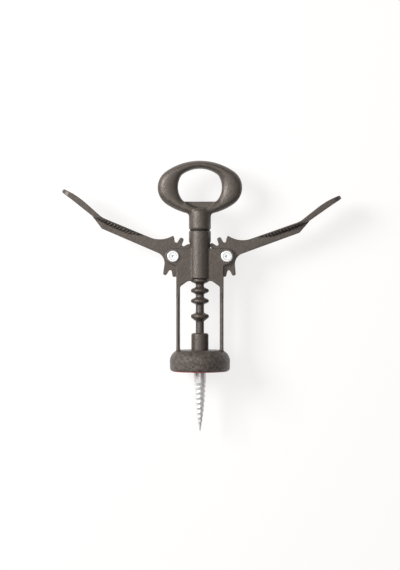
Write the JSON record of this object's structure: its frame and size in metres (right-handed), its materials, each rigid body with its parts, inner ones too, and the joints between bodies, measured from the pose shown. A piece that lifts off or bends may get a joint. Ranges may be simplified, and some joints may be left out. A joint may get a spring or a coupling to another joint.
{
  "type": "wing corkscrew",
  "caption": "Wing corkscrew: raised side levers geared to a round rack that draws a tapered worm up through a bell seated on a bottle neck; oval key handle opens crown caps.",
  "frame": {"origin": "centre of the mouth of the bell's liner, where the bottle's neck enters", "axes": "+Z along the worm up to the handle, +X to the right-hand lever, -Y to the front, where the cap seat of the handle is"},
  "size_m": [0.1754, 0.038, 0.1702],
  "materials": {
    "frame_grey": "satin gunmetal grey on cast metal, fine grain",
    "lever_grey": "satin gunmetal grey on cast metal, fine grain",
    "handle_grey": "satin gunmetal grey on cast metal, fine grain",
    "rack_grey": "satin gunmetal grey",
    "worm_steel": "bright plated",
    "rivet_steel": "bright plated",
    "liner_red": "moulded",
    "washer_black": "matt black"
  },
  "bodies": {
    "frame": {"frame_casting": "frame_grey", "bottle_liner": "liner_red", "left_rivet": "rivet_steel", "right_rivet": "rivet_steel"},
    "washer": {"thrust_washer": "washer_black"},
    "spindle": {"ring_rack": "rack_grey", "worm_screw": "worm_steel", "key_handle": "handle_grey"},
    "left_wing": {"left_lever": "lever_grey"},
    "right_wing": {"right_lever": "lever_grey"}
  },
  "joints": [
    {"name": "rack_slide", "type": "slide", "parent": "frame", "child": "washer", "axis": [0, 0, 1], "range_m": [0, 0.0236]},
    {"name": "key_turn", "type": "hinge", "parent": "washer", "child": "spindle", "pos_m": [0, 0, 0.0888], "axis": [0, 0, 1], "continuous": true},
    {"name": "left_lever_swing", "type": "hinge", "parent": "frame", "child": "left_wing", "pos_m": [-0.0168, 0, 0.0724], "axis": [0, -1, 0], "range_deg": [0, 110]},
    {"name": "right_lever_swing", "type": "hinge", "parent": "frame", "child": "right_wing", "pos_m": [0.0168, 0, 0.0724], "axis": [0, 1, 0], "range_deg": [0, 110]}
  ],
  "couplings": [
    {"joint": "left_lever_swing", "follows": "rack_slide", "rad_per_m": 81.178},
    {"joint": "right_lever_swing", "follows": "rack_slide", "rad_per_m": 81.178}
  ]
}
